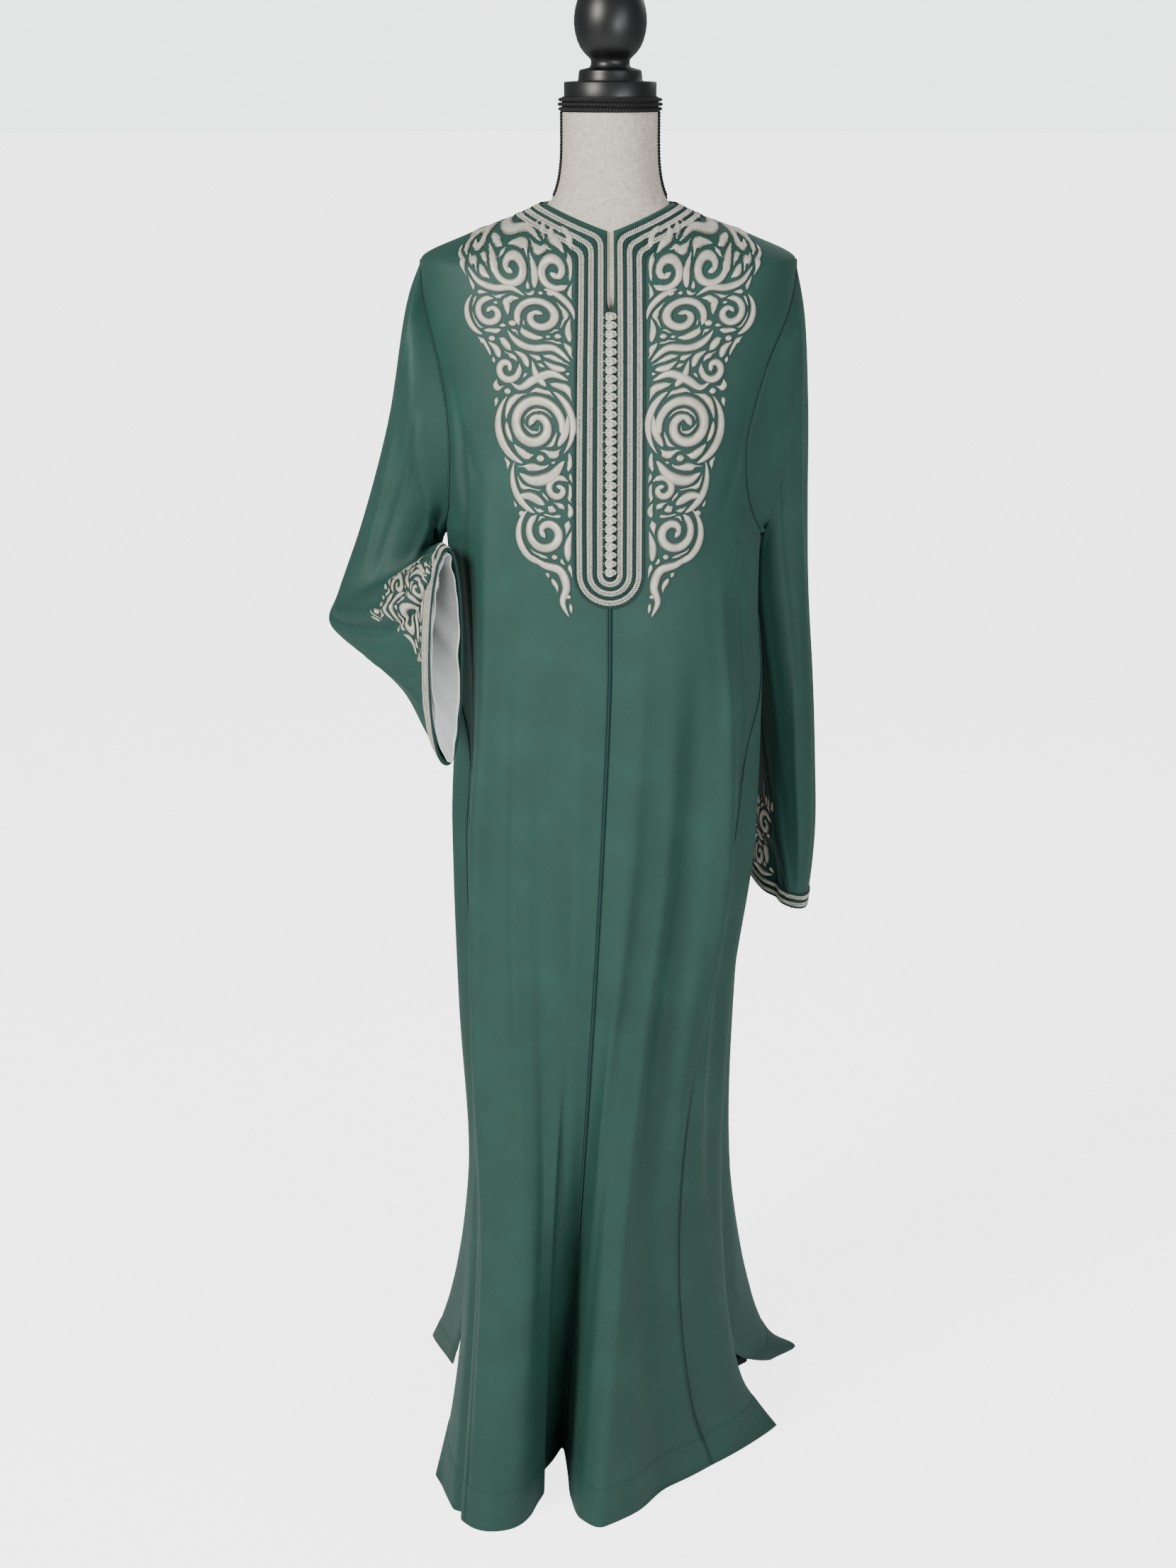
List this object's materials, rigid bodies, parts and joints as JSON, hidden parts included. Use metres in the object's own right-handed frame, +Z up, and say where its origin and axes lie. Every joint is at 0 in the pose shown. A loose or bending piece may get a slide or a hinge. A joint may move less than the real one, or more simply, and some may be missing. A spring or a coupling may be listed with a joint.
{
  "type": "kaftan on limbless dress form",
  "caption": "Floor-length sea green kaftan with silver braid, knotted buttons and scroll embroidery, open at neck, cuffs and hem, on a limbless linen dress form with a black wooden stand.",
  "frame": {"origin": "on the floor, under the middle of the part's box", "axes": "+Z up, -Y towards the front of the kaftan, +X to the right as seen from the front"},
  "size_m": [0.534, 0.4682, 1.625],
  "materials": {
    "crepe": "smooth satin-back crepe, soft matt sheen",
    "satin": "white lining satin",
    "silver_thread": "braided metal thread, silver over ecru",
    "linen": "plain unbleached linen",
    "gimp": "black gimp braid",
    "black_wood": "turned wood, black satin paint"
  },
  "bodies": {
    "root": {"back": "crepe", "button_01": "silver_thread", "button_02": "silver_thread", "button_03": "silver_thread", "button_04": "silver_thread", "button_05": "silver_thread", "button_06": "silver_thread", "button_07": "silver_thread", "button_08": "silver_thread", "button_09": "silver_thread", "button_10": "silver_thread", "button_11": "silver_thread", "button_12": "silver_thread", "button_13": "silver_thread", "button_14": "silver_thread", "button_15": "silver_thread", "button_16": "silver_thread", "button_17": "silver_thread", "button_18": "silver_thread", "button_19": "silver_thread", "button_20": "silver_thread", "button_21": "silver_thread", "button_22": "silver_thread", "button_23": "silver_thread", "button_24": "silver_thread", "button_25": "silver_thread", "button_26": "silver_thread", "button_27": "silver_thread", "button_28": "silver_thread", "button_29": "silver_thread", "button_30": "silver_thread", "cuff_braid_left_edge": "silver_thread", "cuff_braid_left_second": "silver_thread", "cuff_braid_right_edge": "silver_thread", "cuff_braid_right_second": "silver_thread", "cuff_lining_left": "satin", "cuff_lining_right": "satin", "form_finial": "black_wood", "form_neck_trim": "gimp", "form_torso": "linen", "front_left": "crepe", "front_right": "crepe", "gore_back_left": "crepe", "gore_back_right": "crepe", "gore_front_left": "crepe", "gore_front_right": "crepe", "neck_braid_inner": "silver_thread", "neck_braid_middle": "silver_thread", "neck_braid_outer": "silver_thread", "sleeve_left": "crepe", "sleeve_right": "crepe", "stand_hub": "black_wood", "stand_leg_front": "black_wood", "stand_leg_rear_left": "black_wood", "stand_leg_rear_right": "black_wood", "stand_post": "black_wood"}
  },
  "joints": []
}
